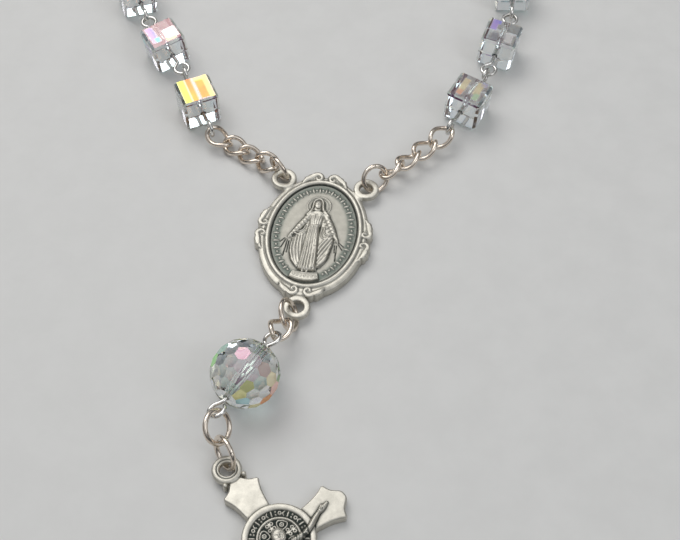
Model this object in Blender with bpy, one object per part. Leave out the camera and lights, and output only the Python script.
"""Rosary of one decade: centre medal, two strands of cube beads, a pendant with a round bead and a
crucifix, and a clasped top chain. Lies flat on z = 0, medal centre at the origin, medal's top to +Y."""

import math

import bmesh
import bpy
from mathutils import Matrix, Vector

# ---------------------------------------------------------------- driving dimensions (mm)
MM = 0.001
GAP = 0.10            # slack between two wires that pull on each other

WIRE = 0.64           # eye-pin wire diameter
LINK_WIRE = 0.76      # wire diameter of the curb links and rings
CURB_A = 2.2          # curb link centreline: half length
CURB_B = 1.54         # curb link centreline: half width
CURB_TWIST = -90.0    # turn of the wire from one end of a curb link to the other, degrees

CUBE = 6.0            # cube bead edge
CUBE_CHAMFER = 0.42
CUBE_Z = 3.25         # height of the strands' pins above the table
BEAD_HOLE = 1.0
ROUND_BEAD = 10.0

EYE_R = 1.2           # eye loop centreline radius
PITCH = 14.9          # cube bead to cube bead along the strand
ROUND_PIN = 15.7      # round bead's pin, pull point to pull point

MEDAL_X = 8.5
MEDAL_Y = 11.5
MEDAL_T = 1.8
RECESS_X = 6.75
RECESS_Y = 9.75
RECESS_D = 0.45
MEDAL_CURLS = (       # scrolls on the rim: x (mirrored), y, radius, how much thinner than the medal
    (1.35, 11.15, 1.2, 0.1), (2.35, 10.75, 0.8, 0.14),
    (1.25, -10.8, 1.15, 0.1), (2.3, -10.6, 0.85, 0.14),
    (8.0, 1.22, 1.15, 0.1), (8.05, 2.4, 0.85, 0.14),
    (8.0, -1.22, 1.15, 0.1), (8.05, -2.4, 0.85, 0.14))
LOOP_Z = 1.3          # height of the cast loops above the table
LOOP_WIRE = 0.96

DISC_R = 5.0
CROSS_T = 1.8
ARM_END = 9.03
ARM_PEAK = 10.75
ARM_HALF = 2.93
ARM_ROOT = 1.8
FOOT_PEAK = 21.5

CROSS_AT = (4.6, -49.9)
CROSS_TURN = 46.4

CLASP_T = 2.4
CLASP_PIVOT = (3.3, 0.7)


# ---------------------------------------------------------------- scene set-up
for old in list(bpy.data.objects):
    bpy.data.objects.remove(old, do_unlink=True)

PARTS = bpy.data.collections.new("rosary")
CUTTERS = bpy.data.collections.new("cutters")
bpy.context.scene.collection.children.link(PARTS)
bpy.context.scene.collection.children.link(CUTTERS)

LOOKS = {
    "silver": ((0.62, 0.61, 0.58, 1.0), 1.0, 0.38),
    "wire": ((0.78, 0.74, 0.68, 1.0), 1.0, 0.2),
    "pin": ((0.85, 0.85, 0.84, 1.0), 1.0, 0.15),
    "crystal": ((0.92, 0.95, 0.96, 1.0), 0.0, 0.03),
}


def material(slot, look):
    """One Principled material per sub-part."""
    colour, metallic, rough = LOOKS[look]
    mat = bpy.data.materials.new(slot)
    mat.use_nodes = True
    shader = mat.node_tree.nodes["Principled BSDF"]
    shader.inputs["Base Color"].default_value = colour
    shader.inputs["Metallic"].default_value = metallic
    shader.inputs["Roughness"].default_value = rough
    return mat


def mesh_object(name, bm, collection=None):
    """Turn a bmesh held in millimetres into an object in metres."""
    bmesh.ops.recalc_face_normals(bm, faces=bm.faces)
    mesh = bpy.data.meshes.new(name)
    bm.to_mesh(mesh)
    bm.free()
    obj = bpy.data.objects.new(name, mesh)
    (collection or CUTTERS).objects.link(obj)
    return obj


def cylinder(name, radius, depth, segments, radius_top=None):
    bm = bmesh.new()
    top = radius if radius_top is None else radius_top
    bmesh.ops.create_cone(
        bm, cap_ends=True, segments=segments, radius1=radius, radius2=top, depth=depth)
    return mesh_object(name, bm)


def ball(name, radius, segments=12, rings=8):
    bm = bmesh.new()
    bmesh.ops.create_uvsphere(bm, u_segments=segments, v_segments=rings, radius=radius)
    return mesh_object(name, bm)


def box(name, size):
    bm = bmesh.new()
    bmesh.ops.create_cube(bm, size=1.0)
    bmesh.ops.scale(bm, vec=Vector(size), verts=bm.verts)
    return mesh_object(name, bm)


def tube(name, points, radius, cyclic=False, sides=1):
    """Round wire along a poly line; sides 1 gives a six-sided section, 2 an eight-sided one."""
    curve = bpy.data.curves.new(name, "CURVE")
    curve.dimensions = "3D"
    curve.bevel_depth = radius
    curve.bevel_resolution = sides
    curve.use_fill_caps = not cyclic
    spline = curve.splines.new("POLY")
    spline.points.add(len(points) - 1)
    for slot, point in zip(spline.points, points):
        slot.co = (point[0], point[1], point[2], 1.0)
    spline.use_cyclic_u = cyclic
    return curve_mesh(name, curve)


def plate(name, outline, thickness):
    """Flat plate of an outline, centred on its own mid plane."""
    curve = bpy.data.curves.new(name, "CURVE")
    curve.dimensions = "2D"
    curve.fill_mode = "BOTH"
    curve.extrude = thickness / 2
    spline = curve.splines.new("POLY")
    spline.points.add(len(outline) - 1)
    for slot, point in zip(spline.points, outline):
        slot.co = (point[0], point[1], 0.0, 1.0)
    spline.use_cyclic_u = True
    return curve_mesh(name, curve)


def curve_mesh(name, curve):
    """Curve to a welded mesh object."""
    carrier = bpy.data.objects.new(name + "_curve", curve)
    CUTTERS.objects.link(carrier)
    bpy.context.view_layer.update()
    graph = bpy.context.evaluated_depsgraph_get()
    mesh = bpy.data.meshes.new_from_object(carrier.evaluated_get(graph))
    bpy.data.objects.remove(carrier, do_unlink=True)
    bm = bmesh.new()
    bm.from_mesh(mesh)
    bpy.data.meshes.remove(mesh)
    bmesh.ops.remove_doubles(bm, verts=bm.verts, dist=0.0001)
    return mesh_object(name, bm)


def put(obj, at=(0, 0, 0), turn=(0, 0, 0), size=(1, 1, 1)):
    """Move, turn (degrees, XYZ) and scale a mesh in place."""
    angles = [math.radians(value) for value in turn]
    move = Matrix.Translation(Vector(at))
    for axis, angle in zip("XYZ", angles):
        if angle:
            move = move @ Matrix.Rotation(angle, 4, axis)
    obj.data.transform(move @ Matrix.Diagonal((*size, 1.0)))
    return obj


def boolean(obj, other, operation):
    """Apply one exact Boolean and drop the tool object."""
    bpy.context.view_layer.update()
    step = obj.modifiers.new(operation, "BOOLEAN")
    step.operation = operation
    step.solver = "EXACT"
    step.object = other
    graph = bpy.context.evaluated_depsgraph_get()
    mesh = bpy.data.meshes.new_from_object(obj.evaluated_get(graph))
    obj.modifiers.clear()
    obj.data = mesh
    bpy.data.objects.remove(other, do_unlink=True)
    return obj


def join(obj, others):
    for other in others:
        boolean(obj, other, "UNION")
    return obj


def cut(obj, others):
    for other in others:
        boolean(obj, other, "DIFFERENCE")
    return obj


def frame(centre, along, normal):
    """Matrix of a piece: X along the chain, Z out of the ring's plane."""
    x_axis = Vector(along).normalized()
    z_axis = Vector(normal)
    z_axis = (z_axis - x_axis * z_axis.dot(x_axis)).normalized()
    y_axis = z_axis.cross(x_axis)
    turn = Matrix((x_axis, y_axis, z_axis)).transposed().to_4x4()
    return Matrix.Translation(Vector(centre)) @ turn


def finish(obj, name, look, place, pivot):
    """Place a piece made in its own frame, set its origin on its joint and file it."""
    obj.data.transform(place)
    obj.data.transform(Matrix.Translation(-Vector(pivot)))
    obj.data.transform(Matrix.Scale(MM, 4))
    obj.location = Vector(pivot) * MM
    obj.name = name
    obj.data.name = name
    bm = bmesh.new()
    bm.from_mesh(obj.data)
    bmesh.ops.remove_doubles(bm, verts=bm.verts, dist=0.0000002)
    bmesh.ops.triangulate(bm, faces=bm.faces)
    bmesh.ops.recalc_face_normals(bm, faces=bm.faces)
    bm.to_mesh(obj.data)
    bm.free()
    for holder in list(obj.users_collection):
        holder.objects.unlink(obj)
    PARTS.objects.link(obj)
    obj.data.materials.clear()
    obj.data.materials.append(material(name, look))
    return obj


PIVOTS = {}


# ---------------------------------------------------------------- wire shapes
def ring_points(radius_x, radius_y, count):
    turn = 2 * math.pi / count
    return [(radius_x * math.cos(turn * k), radius_y * math.sin(turn * k), 0.0)
            for k in range(count)]


def curb_points(count=12):
    points = []
    for k in range(count):
        angle = 2 * math.pi * k / count
        lean = math.radians(CURB_TWIST / 2) * math.cos(angle)
        side = CURB_B * math.sin(angle)
        points.append((CURB_A * math.cos(angle), side * math.cos(lean), side * math.sin(lean)))
    return points


def eye_points(centre_x, way):
    """Eye loop at one end of a pin, from the shaft round to the wire's cut end."""
    points = []
    for degrees in (140, 105, 70, 35, 0, -35, -70, -105, -140, -158):
        angle = math.radians(degrees)
        points.append((centre_x + way * EYE_R * math.cos(angle), -way * EYE_R * math.sin(angle), 0.0))
    return points


def pin_points(length):
    """Pin with an eye at both ends; length runs from pull point to pull point."""
    centre_x = length / 2 - (EYE_R - WIRE / 2 - GAP / 2)
    neck = centre_x - EYE_R - 0.55
    right = [(neck, 0.0, 0.0)] + eye_points(centre_x, 1)
    left = [(-neck, 0.0, 0.0)] + eye_points(-centre_x, -1)
    return list(reversed(left)) + right


def curb_link(name, look, place, pivot):
    return finish(tube(name, curb_points(), LINK_WIRE / 2, True), name, look, place, pivot)


def wire_ring(name, look, radius_x, radius_y, wire, place, pivot, count=14):
    body = tube(name, ring_points(radius_x, radius_y, count), wire / 2, True)
    return finish(body, name, look, place, pivot)


def eye_pin(name, length, place, pivot):
    return finish(tube(name, pin_points(length), WIRE / 2), name, "pin", place, pivot)


# ---------------------------------------------------------------- beads
def cube_bead(name, place, pivot):
    body = box(name, (CUBE, CUBE, CUBE))
    bm = bmesh.new()
    bm.from_mesh(body.data)
    bmesh.ops.bevel(
        bm, geom=bm.edges, offset=CUBE_CHAMFER, segments=1, affect="EDGES")
    bm.to_mesh(body.data)
    bm.free()
    cut(body, [put(cylinder("hole", BEAD_HOLE / 2, CUBE * 2, 8), turn=(0, 90, 0))])
    return finish(body, name, "crystal", place, pivot)


def round_bead(name, place, pivot):
    body = put(ball(name, ROUND_BEAD / 2, 16, 9), turn=(0, 90, 0))
    for side in (-1, 1):
        cut(body, [put(box("end", (4, 8, 8)), at=(side * (ROUND_BEAD / 2 + 1.72), 0, 0))])
    cut(body, [put(cylinder("hole", BEAD_HOLE / 2, ROUND_BEAD * 2, 8), turn=(0, 90, 0))])
    return finish(body, name, "crystal", place, pivot)


# ---------------------------------------------------------------- cast pieces
def oval(radius_x, radius_y, count):
    return [(point[0], point[1]) for point in ring_points(radius_x, radius_y, count)]


def loop(at, radius, wire, count=16):
    """Cast ring lying flat."""
    return put(tube("loop", ring_points(radius, radius, count), wire / 2, True, 2), at=at)


def medal():
    body = put(plate("medal", oval(MEDAL_X, MEDAL_Y, 48), MEDAL_T), at=(0, 0, MEDAL_T / 2))
    for curl_x, curl_y, radius, thin in MEDAL_CURLS:
        for side in (-1, 1):
            curl = cylinder("curl", radius, MEDAL_T - thin, 16)
            join(body, [put(curl, at=(side * curl_x, curl_y, MEDAL_T / 2))])
    cut(body, [put(plate("recess", oval(RECESS_X, RECESS_Y, 40), RECESS_D * 2),
                   at=(0, 0.3, MEDAL_T))])
    for x, y, turn in ((-6.7, 10.2, 33), (6.7, 10.2, -33), (0.0, -13.8, 180)):
        reach = Matrix.Rotation(math.radians(turn), 3, "Z") @ Vector((0, -2.15, 0))
        web = put(box("web", (2.4, 1.9, 0.9)), at=(x + reach.x, y + reach.y, LOOP_Z - 0.05),
                  turn=(0, 0, turn))
        join(body, [web, loop((x, y, LOOP_Z), 1.54, LOOP_WIRE)])
    floor = MEDAL_T - RECESS_D
    robe = put(cylinder("robe", 2.9, 10.6, 14, 1.05), at=(0, -1.9, floor - 0.05),
               turn=(-90, 0, 0), size=(0.95, 0.2, 1.0))
    head = put(ball("head", 1.0), at=(-0.2, 5.2, floor + 0.02), size=(0.8, 1.05, 0.5))
    step = put(box("step", (4.8, 1.5, 0.7)), at=(0, -8.1, floor))
    arms = [put(cylinder("arm", 0.75, 4.4, 8, 0.45), at=(side * 2.2, 1.2, floor - 0.05),
                turn=(90, side * 38, 0), size=(1, 0.45, 1)) for side in (-1, 1)]
    join(body, [robe, head, step] + arms)
    return finish(body, "medal", "silver", Matrix.Identity(4), (0, 0, 0))


def arm_outline(peak, end):
    """One fishtail arm pointing along +Y, open at the root."""
    right = [(ARM_ROOT, 3.3), (ARM_ROOT, 4.7), (ARM_ROOT + 0.28, end - 2.3), (ARM_ROOT + 0.63, end - 1.1)]
    right += [(ARM_HALF, end), (1.7, end + 0.5), (0.8, peak - 0.25), (0.35, peak)]
    left = [(-x, y) for x, y in reversed(right)]
    return right + left


def crucifix():
    mid = CROSS_T / 2
    body = put(cylinder("crucifix", DISC_R, CROSS_T, 40), at=(0, 0, mid))
    arms = ((0, ARM_PEAK, ARM_END), (-90, ARM_PEAK, ARM_END),
            (180, FOOT_PEAK, FOOT_PEAK + ARM_END - ARM_PEAK), (90, ARM_PEAK, ARM_END))
    outline = []
    for turn, peak, end in arms:
        spin = Matrix.Rotation(math.radians(turn), 3, "Z")
        outline += [spin @ Vector((x, y, 0)) for x, y in reversed(arm_outline(peak, end))]
    join(body, [put(plate("arms", outline, CROSS_T - 0.2), at=(0, 0, mid - 0.1))])
    band = cylinder("band", 4.1, 0.3, 36)
    cut(body, [put(band, at=(0, 0, CROSS_T))])
    join(body, [put(cylinder("field", 3.0, 0.3, 28), at=(0, 0, CROSS_T - 0.1))])
    join(body, [loop((0, 12.4, LOOP_Z), 1.55, LOOP_WIRE)])
    join(body, [put(cylinder("neck", 0.75, 0.9, 10), at=(0, 10.75, 1.15))])
    top = CROSS_T + 0.1
    trunk = put(cylinder("trunk", 0.8, 4.6, 10, 1.15), at=(0, -2.9, top), turn=(-90, 0, 0),
                size=(1, 0.62, 1))
    cloth = put(cylinder("cloth", 1.15, 2.2, 10, 0.95), at=(0, -5.9, top), turn=(-90, 0, 0),
                size=(1, 0.62, 1))
    legs = put(cylinder("legs", 0.55, 7.6, 10, 0.95), at=(0, -10.2, top), turn=(-90, 0, 0),
               size=(1, 0.62, 1))
    feet = put(ball("feet", 0.8), at=(0, -14.2, top), size=(0.7, 1.2, 0.6))
    head = put(ball("head", 1.0), at=(0, 0.1, top + 0.1), size=(0.85, 1.05, 0.85))
    join(body, [trunk, cloth, legs, feet, head])
    for side in (-1, 1):
        points = [(side * x, y, top) for x, y in ((0.6, -1.5), (2.2, -1.5), (4.1, -1.15), (5.7, -0.25),
                                                  (7.1, 0.1))]
        join(body, [tube("arm", points, 0.42, False, 1)])
    turn = Matrix.Rotation(math.radians(CROSS_TURN), 4, "Z")
    place = Matrix.Translation((*CROSS_AT, 0.0)) @ turn
    pivot = place @ Vector((0, 13.95, LOOP_Z))
    PIVOTS["crucifix"] = pivot
    return finish(body, "crucifix", "silver", place, pivot)


# ---------------------------------------------------------------- clasp
def clasp(point, angle):
    """Lobster clasp lying flat, its tail eye centred on the point, opened off the end ring."""
    place = frame((point.x, point.y, CLASP_T / 2 + 0.05), heading(angle), UP)
    body = plate("clasp", ((1.2, -0.5), (1.9, -1.55), (5.2, -1.75), (5.2, 0.5), (4.6, 1.5),
                           (2.4, 1.6), (1.2, 0.5)), CLASP_T)
    cut(body, [put(box("slot", (6.0, 4.0, 1.3)), at=(4.2, 1.75, 0))])
    join(body, [loop((0, 0, 0), 1.25, 0.8)])
    hook = [(5.6 + 3.9 * math.cos(math.radians(k)), 2.15 * math.sin(math.radians(k)), 0.0)
            for k in range(-105, 46, 15)]
    join(body, [tube("hook", hook, 0.55)])
    cut(body, [put(cylinder("rivet_hole", 0.37, 4.0, 12), at=(*CLASP_PIVOT, 0))])
    finish(body, "clasp_body", "silver", place, place @ Vector((-1.0, 0, 0)))
    lever = plate("lever", ((2.7, 0.2), (3.6, 0.1), (5.6, 1.25), (7.4, 1.2), (7.75, 1.45),
                            (7.4, 1.9), (5.2, 2.15), (3.6, 2.0), (2.6, 2.75), (1.9, 2.5),
                            (2.3, 1.6)), 1.1)
    cut(lever, [put(cylinder("lever_hole", 0.43, 4.0, 12), at=(*CLASP_PIVOT, 0))])
    pivot = place @ Vector((*CLASP_PIVOT, 0))
    finish(lever, "clasp_lever", "silver", place, pivot)
    rivet = put(cylinder("rivet", 0.35, CLASP_T + 0.1, 12), at=(*CLASP_PIVOT, 0))
    finish(rivet, "clasp_rivet", "silver", place, pivot)
    PIVOTS["clasp_body"] = place @ Vector((-1.0, 0, 0))
    PIVOTS["clasp_lever"] = pivot


# ---------------------------------------------------------------- laying out the strands
UP = Vector((0, 0, 1))
INSET = (LINK_WIRE + GAP) / 2
CURB_STEP = 2 * (CURB_A - INSET)


def heading(angle, climb=0.0):
    """Unit vector at a compass angle from +X and a climb above the table, degrees."""
    flat = math.cos(math.radians(climb))
    return Vector((math.cos(math.radians(angle)) * flat, math.sin(math.radians(angle)) * flat,
                   math.sin(math.radians(climb))))


def leaning(along, lean):
    return Matrix.Rotation(math.radians(lean), 3, along) @ UP


def slack_chain(rings, before):
    """Pieces lying slack: each row is name, centre, angle, climb, lean and ring radius (0 for curb)."""
    for name, centre, angle, climb, lean, radius in rings:
        along = heading(angle, climb)
        reach = radius or CURB_A
        centre = Vector(centre)
        pivot = (before + centre - along * reach) / 2
        place = frame(centre, along, leaning(along, lean))
        if radius:
            wire_ring(name, "wire", radius, radius, LINK_WIRE, place, pivot)
        else:
            curb_link(name, "wire", place, pivot)
        PIVOTS[name] = pivot
        before = centre + along * reach
    return before


def lay_bead(side, number, start, angle, climb, roll, upright):
    """Eye pin with its cube bead; returns the next pull point."""
    along = heading(angle, climb)
    middle = start + along * PITCH / 2
    normal = along.cross(UP) if upright else UP
    pin_name = f"pin_{side}{number}"
    bead_name = f"cube_{side}{number}"
    eye_pin(pin_name, PITCH, frame(middle, along, normal), start)
    cube_bead(bead_name, frame(middle, along, leaning(along, roll)), middle)
    PIVOTS[pin_name] = start
    PIVOTS[bead_name] = middle
    return start + along * PITCH


def lay_top(side, number, start, angle, climb, lean):
    """Curb link of the top chain; returns the next pull point."""
    along = heading(angle, climb)
    name = f"top_{side}{number}"
    place = frame(start + along * CURB_STEP / 2, along, leaning(along, lean))
    curb_link(name, "wire", place, start)
    PIVOTS[name] = start
    return start + along * CURB_STEP


def lay_strand(side, first_bead, beads, tops):
    """Beads from the first bead's centre on, then the top chain; returns the last pull point."""
    point = Vector(first_bead) - heading(*beads[0][:2]) * PITCH / 2
    for number, (angle, climb, roll) in enumerate(beads, 1):
        point = lay_bead(side, number, point, angle, climb, roll, number % 2 == 1)
    point = point - heading(*tops[0][:2]) * 0.12
    for number, (angle, climb, lean) in enumerate(tops, 1):
        point = lay_top(side, number, point, angle, climb, lean)
    return point


medal()
crucifix()

slack_chain((("jump_l", (-7.66, 11.32, 2.43), 136, -6, 83, 2.07),
             ("link_l1", (-10.1, 12.84, 1.64), 152, -11, -26, 0),
             ("link_l2", (-13.07, 14.38, 1.0), 158, -1, 1, 0),
             ("link_l3", (-15.89, 15.86, 1.0), 158, 3, -4, 0),
             ("link_l4", (-18.82, 16.63, 1.88), 173, 27, -2, 0)), Vector((-6.9, 11.7, LOOP_Z)))
slack_chain((("jump_r", (7.86, 12.13, 2.13), 45, 13, 57, 2.07),
             ("link_r1", (10.36, 14.39, 2.11), 49, -1, -51, 0),
             ("link_r2", (12.64, 17.01, 2.13), 49, 1, -25, 0),
             ("link_r3", (14.88, 19.68, 2.29), 51, 3, -4, 0),
             ("link_r4", (17.19, 22.21, 2.82), 47, 10, 20, 0)), Vector((7.4, 11.6, LOOP_Z)))
slack_chain((("jump_a", (-0.76, -15.93, 2.42), -95, 20, -60, 2.3),
             ("link_b", (-1.41, -19.2, 3.82), -106, 21, -14, 0)), Vector((0, -15.3, LOOP_Z)))

bead_along = heading(-111, 4)
bead_centre = Vector((-4.5, -28.15, ROUND_BEAD / 2))
bead_place = frame(bead_centre, bead_along, leaning(bead_along, 25))
PIVOTS["pin_round"] = bead_centre - bead_along * ROUND_PIN / 2
PIVOTS["round_bead"] = bead_centre
eye_pin("pin_round", ROUND_PIN, bead_place, PIVOTS["pin_round"])
round_bead("round_bead", bead_place, bead_centre)
slack_chain((("ring_d", (-6.45, -36.88, 4.82), -85, -18, -52, 2.3),
             ("ring_e", (-5.0, -39.49, 2.63), -49, -7, 76, 2.3)),
            bead_centre + bead_along * (ROUND_PIN / 2 + INSET))

end_l = lay_strand(
    "l", (-23.9, 22.8, CUBE_Z),
    ((122, 0, 0), (130, 0, -5), (120, 0, 4), (100, 0, -4), (78, 0, 3)),
    ((64, -18, -45), (53, -11, -30), (43, -5, -14), (34, 0, 0), (26, 0, 0), (22, 8, 0)))
end_r = lay_strand(
    "r", (20.75, 30.5, CUBE_Z),
    ((70, 0, 3), (79, 0, 4), (93, 0, -5), (111, 0, 2), (131, 0, 5)),
    ((144, -18, -45), (156, -11, -30), (167, -5, -14), (176, 0, 0), (183, 0, 0), (190, 9, 0)))

TAIL_R = 1.6
tail_along = heading(10)
tail_centre = end_l + tail_along * (TAIL_R - INSET - 0.08)
slack_chain((("clasp_ring", tail_centre, 10, 0, 60, TAIL_R),), end_l)
clasp(tail_centre + tail_along * 1.45 - heading(100) * 0.25, 10)
slack_chain((("end_ring", end_r + heading(195) * (2.0 - INSET), 195, 0, 36, 2.07),), end_r)
